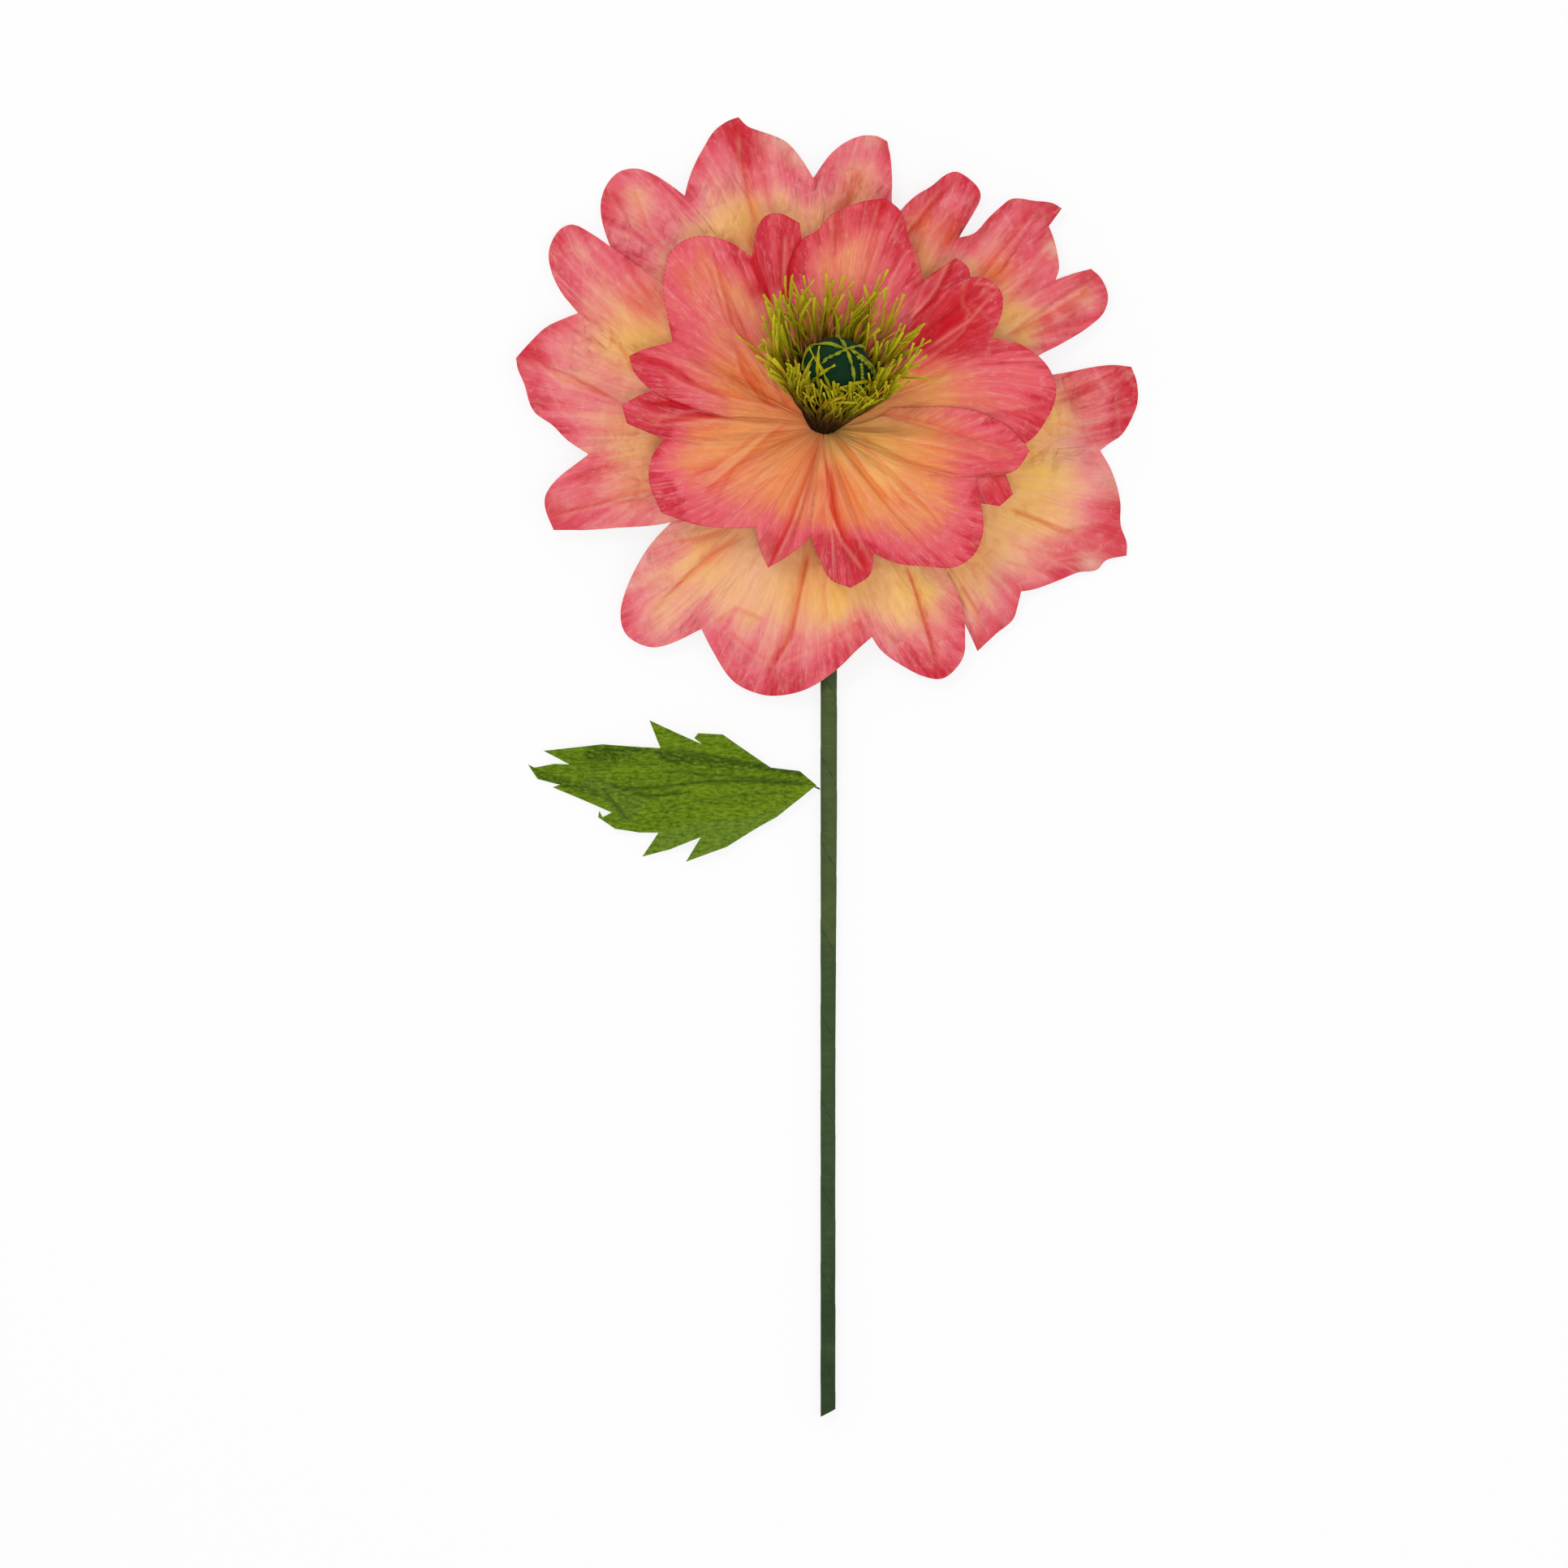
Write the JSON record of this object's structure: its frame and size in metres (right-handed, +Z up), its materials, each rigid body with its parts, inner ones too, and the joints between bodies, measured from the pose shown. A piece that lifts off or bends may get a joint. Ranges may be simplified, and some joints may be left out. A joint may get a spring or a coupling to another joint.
{
  "type": "paper poppy",
  "caption": "Large paper poppy with two rings of lobed petal sheets, a fringe of stamens round a seed ball, a wrapped rod stem and one cut leaf, lying on its back.",
  "frame": {"origin": "middle of the footprint on the floor that the flower lies on, at the height of the floor", "axes": "+Y along the stem from its cut end towards the flower, +Z up from the floor, the way the flower faces, +X across, away from the leaf"},
  "size_m": [0.4774, 0.9995, 0.1666],
  "materials": {
    "outer_paper": "matte",
    "inner_paper": "matte",
    "stem_paper": "matte",
    "leaf_paper": "matte",
    "ball_paper": "matte",
    "ray_paper": "matte",
    "stamen_paper": "matte",
    "rod": "matte",
    "wire": "satin",
    "foam": "matte"
  },
  "bodies": {
    "root": {"stem_rod": "rod", "stem_wrap": "stem_paper", "neck_wire": "wire", "neck_tape": "stem_paper", "seed_ball": "foam", "seed_cover": "ball_paper", "seed_rays": "ray_paper", "stamen_strip_1": "stamen_paper", "stamen_strip_2": "stamen_paper", "stamen_strip_3": "stamen_paper", "outer_petal_1": "outer_paper", "outer_petal_2": "outer_paper", "outer_petal_3": "outer_paper", "outer_petal_4": "outer_paper", "outer_petal_5": "outer_paper", "inner_petal_1": "inner_paper", "inner_petal_2": "inner_paper", "inner_petal_3": "inner_paper", "inner_petal_4": "inner_paper", "inner_petal_5": "inner_paper", "leaf": "leaf_paper", "leaf_wire": "wire"}
  },
  "joints": []
}
